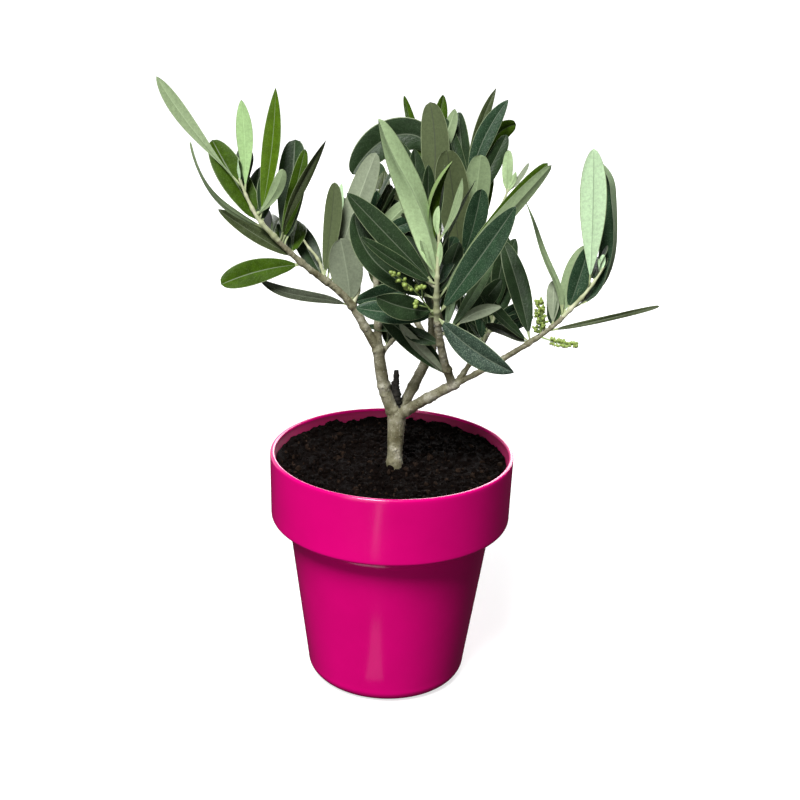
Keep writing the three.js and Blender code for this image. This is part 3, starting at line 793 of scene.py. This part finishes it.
# The dead stub's snag and splinter: how far past its end they rise and how far to the right they
# stand, in millimetres, and how thick they are over the CAD's.
SNAGS = [(7, 0, 1.7), (1, -1.6, 1.3)]
SHOOT_STEPS = 24
SHOOT_TIP = 0.55 * MM  # radius


def ringed(radii, step, rng, every=15, swell=0.17):
    """Radii with the swollen rings of old leaf nodes at uneven steps."""
    run = np.arange(len(radii)) * step
    out = np.array(radii, dtype=float)
    at = rng.uniform(0.3, 0.8) * every
    while at < run[-1]:
        out *= 1 + swell * np.exp(-(((run - at) / 1.2) ** 2))
        at += every * rng.uniform(0.75, 1.3)
    return out


def limb_tube(name):
    """The old wood of a limb, up to where its young wood starts."""
    centres, radii = LINES[name]
    root = centres[0] - unit(centres[1] - centres[0]) * LIMB_ROOT
    points = np.vstack([root, centres, limb_end(name)[0]])
    widths = np.concatenate([[radii[0] * 1.12], radii * 1.06, [radii[-1]]])
    points, widths = even_path(points, widths, BARK_STEP * MM)
    if name == "trunk":
        widths = widths * np.linspace(0.82, 1.1, len(widths))
    else:
        widths = ringed(widths, BARK_STEP, random.Random(name))
    old = len(points) - int(YOUNG.get(name, 0) / BARK_STEP)
    return tube(points[:old], widths[:old], sides=16)


def melt(piece):
    """Runs the overlapping shapes of a piece together into one smooth skin."""
    remesh = piece.modifiers.new("remesh", "REMESH")
    remesh.mode = "VOXEL"
    remesh.voxel_size = BARK_VOXEL * MM
    remesh.use_smooth_shade = True
    smooth = piece.modifiers.new("smooth", "SMOOTH")
    smooth.factor = 0.6
    smooth.iterations = 4
    depsgraph = bpy.context.evaluated_depsgraph_get()
    mesh = bpy.data.meshes.new_from_object(piece.evaluated_get(depsgraph))
    piece.modifiers.clear()
    piece.data = mesh


def roughen(mesh):
    """Raises upright streaks, low lumps and a few warts all over a mesh."""
    normals = [v.normal.copy() for v in mesh.vertices]
    for vertex, normal in zip(mesh.vertices, normals):
        p = vertex.co
        streaks = noise.noise(Vector((p.x * 420, p.y * 420, p.z * 130))) * 0.16
        lumps = noise.noise(p * 260) * 0.16
        warts = max(0.0, noise.noise(p * 620) - 0.28) * 0.8
        vertex.co = p + normal * (streaks + lumps + warts) * MM
    for polygon in mesh.polygons:
        polygon.use_smooth = True


def make_bark():
    """The old wood: the limbs, their knots and the knuckle on the trunk, in one skin."""
    living = [name for name in LIMB_NAMES if name != "dead_stub"]
    soup = Soup()
    for name in living:
        soup.add(*limb_tube(name))
    for name, reaches in KNOTS.items():
        for reach in reaches:
            point, radius = limb_place(name, reach * MM)
            soup.add(*ball(point, radius * KNOT_SWELL))
    knuckle, _, radius = limb_end("trunk")
    soup.add(*ball(knuckle - vec(0, 0, KNUCKLE_DROP), radius * KNUCKLE_SWELL))
    piece = soup.build("bark_relief", bark_material())
    melt(piece)
    roughen(piece.data)
    place_piece(piece, "bark", *living)


def make_dead_stub():
    """The charred stump of a dead shoot: a broad snag and a splinter beside it."""
    centres, radii = LINES["dead_stub"]
    end, axis, _ = limb_end("dead_stub")
    foot = centres[0] - unit(centres[1] - centres[0]) * 2.5 * MM
    rng = random.Random(5)
    soup = Soup()
    for rise, aside, share in SNAGS:
        points = np.vstack([foot, centres, end + axis * rise * MM]) + PICTURE_RIGHT * aside * MM
        widths = np.concatenate([[radii[0]], radii, [radii[-1] * 0.9]]) * share
        points, widths = even_path(points, widths, 0.5 * MM)
        widths = widths * np.array([rng.uniform(0.84, 1.16) for _ in widths])
        vertices, faces = tube(points, widths, sides=14)
        vertices = [v + unit(v - points[0]) * noise.noise(Vector(v) * 600) * 0.4 * MM for v in vertices]
        soup.add(vertices, faces)
    place_piece(soup.build("dead_wood_stub", dead_wood_material()), "dead_wood", "dead_stub")


def young_end(name):
    """The path and radii of the young wood at a limb's end."""
    places = [limb_place(name, reach) for reach in np.arange(YOUNG[name] + 1, 3, -1) * MM]
    return [point for point, _ in places], [radius * 1.08 for _, radius in places]


def shoot_line(shoot):
    """The path and radii of a young shoot, which turns from its limb's line over its first third."""
    _, axis, radius = limb_end(shoot["limb"])
    points = [limb_place(shoot["limb"], shoot["start"] * MM)[0]]
    for i in range(SHOOT_STEPS):
        t = (i + 0.5) / SHOOT_STEPS
        own = direction(along(shoot["lean"], t), along(shoot["toward"], t))
        heading = unit(axis * (1 - min(t * 3, 1)) + own * min(t * 3, 1))
        points.append(points[-1] + heading * shoot["length"] * MM / SHOOT_STEPS)
    widest = radius * (0.7 if shoot["side"] else 1.02)
    return np.array(points), np.linspace(widest, SHOOT_TIP, SHOOT_STEPS + 1)


def shoot_place(shoot, place):
    """The point at that many millimetres past the limb's end, or before it where negative."""
    if place <= 0:
        return limb_place(shoot["limb"], -place * MM)[0]
    return point_at(shoot_line(shoot)[0], place * MM)


def make_shoots():
    """The young wood: the shoots, the young ends that they grow on, and the bare twigs."""
    soup = Soup()
    for name, shoot in SHOOTS.items():
        points, radii = shoot_line(shoot)
        if shoot["limb"] in YOUNG and not shoot["side"]:
            first, widths = young_end(shoot["limb"])
            points, radii = np.vstack([first, points]), np.concatenate([widths, radii])
        points, radii = even_path(points, radii, TWIG_STEP * MM)
        radii = ringed(radii, TWIG_STEP, random.Random(name), every=9, swell=0.3)
        soup.add(*tube(points, radii, sides=12))
    for name, place, lean, toward, length, radius in TWIGS:
        start = shoot_place(SHOOTS[name], place)
        steps = [start + direction(lean + 6 * math.sin(t * 5), toward) * length * t * MM
                 for t in np.linspace(0, 1, 6)]
        radii = np.linspace(radius, radius * 0.7, 6) * MM
        points, radii = even_path(np.array(steps), radii, TWIG_STEP * MM)
        radii = ringed(radii, TWIG_STEP, random.Random(place), every=5, swell=0.35)
        soup.add(*tube(points, radii, sides=10))
    place_piece(soup.build("young_shoots", shoot_material()), "bark")


# ---- Leaves ----

BLADE_COLUMNS = np.array([-1, -0.95, -0.7, -0.4, -0.16, -0.04, 0.04, 0.16, 0.4, 0.7, 0.95, 1])
BLADE_ROWS = 24
BLADE_SHARES = 1 - (1 - np.linspace(0, 1, BLADE_ROWS + 1)) ** 1.25  # of the length, at each row
BLADE_UVS = [(u * 0.5 + 0.5, t) for t in BLADE_SHARES for u in BLADE_COLUMNS]
STALK = 0.08  # share of a leaf's length that is stalk
STALK_WIDTH, TIP_WIDTH = 0.42 * MM, 0.1 * MM  # to either side of the middle
THICKNESS, FOOT_THICKNESS = 0.24 * MM, 0.5 * MM  # of the blade, and what its foot has on top
RIB_HEIGHT, GROOVE_DEPTH = 0.34 * MM, 0.13 * MM  # the rib below and the groove above it
RIB_SPREAD = 0.09  # share of the half width
TOP, UNDER, RIB, UNDER_RIB, MARGIN, STALK_SKIN = range(6)
# The leaves behind stand from this far before the limb's end to this far past it, in millimetres.
BEHIND_BEFORE, BEHIND_PAST = 26, 34


def blade_width(t, belly, tip):
    """The share of full width at share t of the leaf: a stalk, a long wedge, and an end."""
    if t <= STALK:
        return 0.0
    s = (t - STALK) / (1 - STALK)
    foot = tip * belly / (1 - belly)
    peak = belly ** foot * (1 - belly) ** tip
    return s ** foot * max(1 - s, 0) ** tip / peak


def blade_faces():
    """The faces of any blade and their materials; its top's vertices come before its underside's."""
    columns = len(BLADE_COLUMNS)
    last = BLADE_ROWS * columns
    offset = last + columns
    faces, materials = [], []
    for i in range(BLADE_ROWS):
        stalk = BLADE_SHARES[i + 1] <= STALK * 1.3
        for k in range(columns - 1):
            a, b = i * columns + k, i * columns + k + 1
            c, e = b + columns, a + columns
            edge = k in (0, columns - 2)
            rib = k == columns // 2 - 1
            outer = STALK_SKIN if stalk else MARGIN if edge else None
            faces += [[a, b, c], [a, c, e]]
            materials += [outer or (RIB if rib else TOP)] * 2
            faces += [[offset + c, offset + b, offset + a], [offset + e, offset + c, offset + a]]
            materials += [outer or (UNDER_RIB if rib else UNDER)] * 2
        a, e = i * columns, (i + 1) * columns
        faces.append([a, e, offset + e, offset + a])
        a, e = a + columns - 1, e + columns - 1
        faces.append([e, a, offset + a, offset + e])
        materials += [STALK_SKIN if stalk else MARGIN] * 2
    faces.append([k + offset for k in range(columns)] + [k for k in reversed(range(columns))])
    faces.append([last + k for k in range(columns)]
                 + [offset + last + k for k in reversed(range(columns))])
    return faces, materials + [STALK_SKIN, MARGIN]


BLADE_FACES, BLADE_MATERIALS = blade_faces()


def facing(d, face):
    """The blade's top direction: face 0 turns it to the viewer, and 90 turns it to the right."""
    flat = unit(VIEWER - d * (VIEWER @ d))
    return turned(flat, d, radians(face))


def sky_facing(d, face):
    """The blade's top direction, turned by face from straight up."""
    flat = unit(PICTURE_UP - d * (PICTURE_UP @ d))
    return turned(flat, d, radians(face))


def leaf_line(root, look):
    """The headings and the centres of a leaf's rows, from its root on."""
    headings = [direction(along(look["lean"], t), along(look["toward"], t)) for t in BLADE_SHARES]
    centres = [root]
    for first, second, share in zip(headings, headings[1:], np.diff(BLADE_SHARES)):
        centres.append(centres[-1] + (first + second) / 2 * share * (look["length"] * MM))
    return headings, centres


def blade_row(look, t, centre, side, up, wave, phase):
    """The vertices of the top and of the underside across a blade, at share t of its length."""
    width = look["width"] * MM
    half = max(blade_width(t, look["belly"], look["tip"]) * width / 2,
               STALK_WIDTH * (1 - t) + TIP_WIDTH)
    channel = radians(look["fold"]) * min(max((t - STALK) * 5, 0), 1)
    body = THICKNESS * (1 - 0.55 * t) + FOOT_THICKNESS * math.exp(-((t / 0.07) ** 2))
    top, under = [], []
    for u in BLADE_COLUMNS:
        lift = abs(u) * half * math.sin(channel) - 0.09 * half * abs(u) ** 4
        ripple = wave * math.sin(t * 8 + phase + u * 1.5) * abs(u) * min(t * 3, 1)
        point = centre + side * (u * half * math.cos(channel)) + up * (lift + ripple)
        slope = channel * min(max(u * 6, -1), 1)
        out = up * math.cos(slope) - side * math.sin(slope)
        thin = body * (1 - abs(u) ** 6 * 0.7)
        near_rib = math.exp(-((u / RIB_SPREAD) ** 2))
        rib = RIB_HEIGHT * (1 - t) ** 0.8 * near_rib
        groove = GROOVE_DEPTH * near_rib * min(t * 6, 1)
        top.append(point + out * (thin / 2 - groove))
        under.append(point - out * (thin / 2 + rib))
    return top, under


def add_leaf(soup, root, look, top_direction, rng):
    """A closed thin blade that grows from its root through its leans, its top turned as told."""
    twist = radians(look["twist"] + rng.uniform(-9, 9))
    wave, phase = rng.uniform(0.15, 0.5) * MM, rng.uniform(0, 6)
    top, under = [], []
    for t, heading, centre in zip(BLADE_SHARES, *leaf_line(root, look)):
        up = top_direction(heading, look["face"])
        side = np.cross(heading, up)
        turn = twist * (t - 0.3)
        side, up = turned(side, heading, turn), turned(up, heading, turn)
        upper, lower = blade_row(look, t, centre, side, up, wave, phase)
        top += upper
        under += lower
    soup.add(top + under, BLADE_FACES, BLADE_MATERIALS, BLADE_UVS * 2)


def leaf_materials(kind):
    """The six materials of one kind of leaf, in the order of the numbers TOP to STALK_SKIN."""
    look = LEAF_KINDS[kind]
    rib = blended(look["top"], (0.40, 0.46, 0.32), 0.2)
    margin = blended(look["top"], (0.50, 0.60, 0.32), 0.36)
    return [
        leaf_top_material(f"leaf_top_{kind}", look["top"], look["specks"], look["sheen"]),
        leaf_under_material(f"leaf_under_{kind}", look["under"]),
        plain_leaf_material(f"leaf_rib_{kind}", rib, 0.5),
        plain_leaf_material(f"leaf_under_rib_{kind}", scaled(look["under"], look["rib"]), 0.6),
        plain_leaf_material(f"leaf_margin_{kind}", margin, 0.5),
        plain_leaf_material(f"leaf_stalk_{kind}", (0.34, 0.40, 0.20), 0.55),
    ]


def add_leaves_behind(shoot, soups, rng):
    """Seeded leaves in pairs along a limb's end and its shoot, away from the viewer."""
    behind = shoot["behind"]
    low, high = behind["lean"]
    middle = (low + high) / 2
    for i in range(behind["pairs"]):
        span = BEHIND_BEFORE + min(shoot["length"], BEHIND_PAST)
        place = -BEHIND_BEFORE + span * (i + 0.5) / behind["pairs"]
        root = shoot_place(shoot, place)
        deep = (-62, -20) if i % 2 else (-45, -8)
        for first, last in ((low, middle), (middle, high)):
            lean, toward = rng.uniform(first, last), rng.uniform(*deep)
            look = leaf(
                place, (lean, lean + rng.uniform(-18, 18)), (toward, toward + rng.uniform(-18, 8)),
                rng.uniform(*behind["length"]), rng.uniform(10, 14), rng.uniform(-80, 80),
                rng.choice(behind["kinds"]), fold=rng.uniform(8, 20), tip=rng.uniform(0.5, 0.75),
                belly=rng.uniform(0.5, 0.58))
            add_leaf(soups[look["kind"]], root, look, sky_facing, rng)


def make_leaves():
    """One piece for each kind of leaf; the first of them stands for the CAD's foliage."""
    soups = {kind: Soup() for kind in LEAF_KINDS}
    rng = random.Random(29)
    for name, leaves in LEADING.items():
        for look in leaves:
            add_leaf(soups[look["kind"]], shoot_place(SHOOTS[name], look["place"]), look, facing, rng)
    for shoot in SHOOTS.values():
        add_leaves_behind(shoot, soups, rng)
    for kind, soup in soups.items():
        piece = soup.build(f"leaves_{kind}", *leaf_materials(kind))
        place_piece(piece, "foliage", *(FOLIAGE_NAMES if kind == "dark" else []))


# ---- Flower buds ----

# Clusters of round buds: shoot, place, lean, toward and length in millimetres, the number of
# buds, their radius, how far they stand off the stalk, and the share of the stalk that is bare.
CLUSTERS = [
    ("centre", -20, -46, 36, 36, 14, 1.05, 3.2, 0.5),
    ("right_tip", -24, -4, 16, 18, 130, 0.66, 3.4, 0.06),
    ("right_tip", -25, 104, 16, 20, 60, 0.70, 2.4, 0.3),
]
# Side stalks of the open cluster: the share of its stalk, lean, length and buds.
SIDE_STALKS = [(0.38, -4, 7, 3), (0.22, -78, 8, 3)]
STALK_STEPS = 8


def on_stalk(points, t):
    """The point at share t of a stalk."""
    return np.array([along([p[k] for p in points], t) for k in range(3)])


def make_buds():
    """Stalks and round buds; a cluster whose stalk is mostly bare also has side stalks."""
    stalks, buds = Soup(), Soup()
    rng = random.Random(41)

    def bud(root, d, reach, radius):
        tip = root + d * reach
        stalks.add(*tube([root, (root + tip) / 2, tip], [0.2 * MM] * 3, sides=6))
        buds.add(*ball(tip, radius * rng.uniform(0.8, 1.15), stretch=d * 0.35))

    for name, place, lean, toward, length, count, radius, spread, bare in CLUSTERS:
        points = [shoot_place(SHOOTS[name], place)]
        for i in range(STALK_STEPS):
            d = direction(lean + 9 * math.sin(i * 0.8), toward)
            points.append(points[-1] + d * length * MM / STALK_STEPS)
        stalks.add(*tube(points, np.linspace(0.55, 0.3, STALK_STEPS + 1) * MM, sides=8))
        for i in range(count):
            t = bare + (1 - bare) * (i + 0.5) / count
            d = direction(lean + rng.choice((-55, 55)) + rng.uniform(-30, 30), rng.uniform(-50, 60))
            reach = rng.uniform(0.35, 1) * spread * (1.25 - 0.6 * t) * MM
            bud(on_stalk(points, t), d, reach, radius * MM)
        buds.add(*ball(points[-1], radius * MM))
        for share, side_lean, side_length, side_count in SIDE_STALKS if bare > 0.4 else []:
            at = on_stalk(points, share)
            end = at + direction(side_lean, toward + 10) * side_length * MM
            stalks.add(*tube([at, (at + end) / 2, end], [0.4 * MM, 0.35 * MM, 0.3 * MM], sides=7))
            for k in range(side_count):
                bud(end, direction(side_lean + 60 * (k - 1), toward), 1.5 * MM, radius * MM)
    place_piece(stalks.build("bud_stalks", plain_leaf_material("bud_stalk", (0.26, 0.36, 0.12), 0.5)),
                "foliage")
    place_piece(buds.build("flower_buds", plain_leaf_material("flower_bud", (0.27, 0.36, 0.08), 0.45)),
                "foliage")


# ---- Floor, light and camera ----

FLOOR = {"half": 40, "grey": 0.4, "glow": 0.68}  # half of its side is in metres
# The soft key light from high on the front left: its angles in degrees, and how much it glints.
KEY = {"strength": 5.2, "width": 22, "around": 24, "height": 56, "gloss": 0.6}
# The white world's strength for the camera, for reflections, and for all other light.
WORLD = {"camera": 1.0, "gloss": 0.02, "rest": 0.11}
# Strips just over the table that only reflections see: x, y, length, watts and turn.
GLOSS_STRIPS = [(-0.014, -0.078, 0.045, 0.0010, -12), (-0.050, -0.32, 0.16, 0.014, 0)]
STRIP_HEIGHT, STRIP_WIDTH = 0.002, 0.016
# The camera looks at the object from this far from the rim's centre, so many degrees above it.
CAMERA = {"distance": 0.700, "elevation": 22.3, "pitch": 20.1, "yaw": 0.3, "roll": 1.9, "lens": 58.8}


def make_camera():
    """The photo's point of view: a level direction turned by yaw, then down by pitch, then roll."""
    data = bpy.data.cameras.new("camera")
    data.lens = CAMERA["lens"]
    data.sensor_width = 36
    camera = new_object("camera", data)
    rim = vec(0, 0, POT_HIGH[2])
    height = radians(CAMERA["elevation"])
    position = rim + CAMERA["distance"] * vec(0, -math.cos(height), math.sin(height))
    yaw, pitch, roll = (radians(CAMERA[k]) for k in ("yaw", "pitch", "roll"))
    forward = vec(math.sin(yaw) * math.cos(pitch), math.cos(yaw) * math.cos(pitch), -math.sin(pitch))
    level = vec(math.cos(yaw), -math.sin(yaw), 0)
    right = turned(level, forward, -roll)
    up = np.cross(right, forward)
    axes = np.stack([right, up, -forward, position]).T
    camera.matrix_world = Matrix([*axes.tolist(), (0, 0, 0, 1)])
    bpy.context.scene.camera = camera


def make_stage():
    """A pale table with a glow of its own, left out of bounced light and of reflections."""
    mesh = bpy.data.meshes.new("floor")
    half = FLOOR["half"]
    mesh.from_pydata([(-half, -half, 0), (half, -half, 0), (half, half, 0), (-half, half, 0)], [],
                     [(0, 1, 2, 3)])
    floor = new_object("floor", mesh)
    surface = Surface("pale_floor", 0.9)
    surface.shader.inputs["Base Color"].default_value = (*[FLOOR["grey"]] * 3, 1)
    surface.shader.inputs["Emission Color"].default_value = (1, 1, 1, 1)
    surface.shader.inputs["Emission Strength"].default_value = FLOOR["glow"]
    mesh.materials.append(surface.material)
    floor.visible_diffuse = False
    floor.visible_glossy = False


def make_world():
    """A white world, with strengths of its own for the camera and for reflections."""
    world = bpy.data.worlds.new("studio")
    bpy.context.scene.world = world
    world.use_nodes = True
    nodes, links = world.node_tree.nodes, world.node_tree.links
    rays = nodes.new("ShaderNodeLightPath")
    first = nodes["Background"]
    first.inputs["Color"].default_value = (1, 1, 1, 1)
    first.inputs["Strength"].default_value = WORLD["rest"]
    shader = first.outputs["Background"]
    for ray, strength in (("Is Glossy Ray", WORLD["gloss"]), ("Is Camera Ray", WORLD["camera"])):
        sky = nodes.new("ShaderNodeBackground")
        sky.inputs["Color"].default_value = (1, 1, 1, 1)
        sky.inputs["Strength"].default_value = strength
        mix = nodes.new("ShaderNodeMixShader")
        links.new(rays.outputs[ray], mix.inputs["Fac"])
        links.new(shader, mix.inputs[1])
        links.new(sky.outputs["Background"], mix.inputs[2])
        shader = mix.outputs["Shader"]
    links.new(shader, nodes["World Output"].inputs["Surface"])


def aim(light, way):
    """Turns a light to shine that way."""
    light.rotation_euler = Vector(way).to_track_quat("-Z", "Y").to_euler()


def key_light():
    """A sun, as wide as KEY says, for soft shadows."""
    sun = bpy.data.lights.new("key", "SUN")
    sun.energy = KEY["strength"]
    sun.angle = radians(KEY["width"])
    sun.specular_factor = KEY["gloss"]
    around, height = radians(KEY["around"]), radians(KEY["height"])
    aim(new_object("key", sun), (
        math.sin(around) * math.cos(height), math.cos(around) * math.cos(height), -math.sin(height)))


def area_light(name, position, target, size, power, size_y=None):
    """A square light, or a rectangle where the second side is given, turned to its target."""
    data = bpy.data.lights.new(name, "AREA")
    data.energy = power
    data.size = size
    if size_y:
        data.shape = "RECTANGLE"
        data.size_y = size_y
    light = new_object(name, data)
    light.location = position
    aim(light, Vector(target) - Vector(position))
    return light


def make_lights():
    """The key light, strips for the pot's gloss, soft light from high behind and low in front,
    and a backdrop that only reflections see."""
    key_light()
    for x, y, length, power, turn in GLOSS_STRIPS:
        strip = area_light("gloss_strip", (x, y, STRIP_HEIGHT), (x, y, 1), STRIP_WIDTH, power, length)
        strip.rotation_euler.z += radians(turn)
        strip.visible_diffuse = False
        strip.visible_camera = False
    rear = area_light("rear_fill", (0.5, 1.3, 0.7), (0, 0, 0.2), 1.2, 26)
    front = area_light("front_fill", (-0.5, -1.2, 0.15), (0, 0, 0.1), 0.8, 4.5)
    for fill in (rear, front):
        fill.data.specular_factor = 0
    backdrop = area_light("backdrop", (-0.5, 1.4, 0.4), (0, 0, 0.1), 2.4, 11, 1.4)
    backdrop.visible_diffuse = False


make_camera()
make_stage()
make_world()
make_lights()
bpy.context.scene.view_settings.view_transform = "Standard"

make_pot()
make_soil()
make_crumbs()
make_bark()
make_dead_stub()
make_shoots()
make_leaves()
make_buds()
